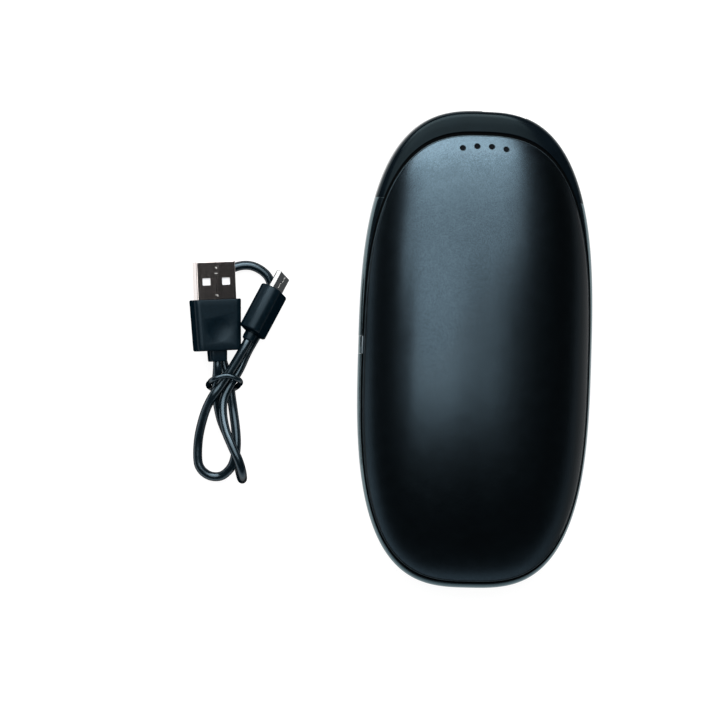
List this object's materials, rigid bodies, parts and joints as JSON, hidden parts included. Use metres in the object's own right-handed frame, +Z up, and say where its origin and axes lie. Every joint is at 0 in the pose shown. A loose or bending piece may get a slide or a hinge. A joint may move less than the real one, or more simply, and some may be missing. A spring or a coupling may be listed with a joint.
{
  "type": "rechargeable hand warmer",
  "caption": "Flat pebble-shaped rechargeable hand warmer with metal-look shells, a gloss band, a side button, end sockets and a short tied charging cable.",
  "frame": {"origin": "middle of the flat under the warmer, where it stands", "axes": "+Z up, +Y towards the end with the sockets, +X to the side away from the button"},
  "size_m": [0.1199, 0.1414, 0.028],
  "materials": {
    "metal_black": "satin with a fine metallic grain",
    "gloss_black": "polished black",
    "button_grey": "light grey",
    "satin_black": "satin black moulding",
    "steel": "plain formed sheet",
    "cord_black": "soft satin jacket",
    "board_green": "lacquered laminate",
    "cell_green": "shrink sleeve",
    "nickel": "nickel strip",
    "film_amber": "thin film",
    "foam_grey": "soft foam",
    "wire": "wire jackets",
    "plastic_white": "white moulding",
    "gold": "plated contacts"
  },
  "bodies": {
    "warmer": {"top_shell": "metal_black", "bottom_shell": "metal_black", "mid_frame": "gloss_black", "end_cap": "gloss_black", "switch_body": "steel", "switch_board": "board_green", "circuit_board": "board_green", "board_chips": "satin_black", "power_inductor": "satin_black", "usb_a_socket_shell": "steel", "usb_a_socket_tongue": "satin_black", "usb_a_socket_contacts": "gold", "micro_usb_socket_shell": "steel", "micro_usb_socket_tongue": "satin_black", "light_board": "board_green", "light_header": "satin_black", "status_lights": "plastic_white", "light_guide": "gloss_black", "battery_tray": "satin_black", "cell_left": "cell_green", "cell_middle": "cell_green", "cell_right": "cell_green", "nickel_strips": "nickel", "heater_film_top": "film_amber", "heater_film_bottom": "film_amber", "foam_pad_top": "foam_grey", "foam_pad_bottom": "foam_grey", "thermistor": "wire", "battery_leads": "wire", "heater_leads": "wire", "frame_screws": "steel"},
    "button": {"power_button": "button_grey", "switch_plunger": "satin_black"},
    "charging_cable": {"cable_usb_a_shell": "steel", "cable_usb_a_tongue": "plastic_white", "cable_usb_a_contacts": "gold", "cable_usb_a_grip": "satin_black", "cable_cord": "cord_black", "cable_tie": "cord_black", "cable_micro_grip": "satin_black", "cable_micro_shell": "steel", "cable_micro_tongue": "satin_black"}
  },
  "joints": [
    {"name": "button_press", "type": "slide", "parent": "warmer", "child": "button", "axis": [1, 0, 0], "range_m": [0, 0.0003], "stiffness_N_per_m": 400},
    {"name": "cable_lift", "type": "slide", "parent": "warmer", "child": "charging_cable", "axis": [0, 0, 1], "range_m": [0, 0.1]}
  ]
}
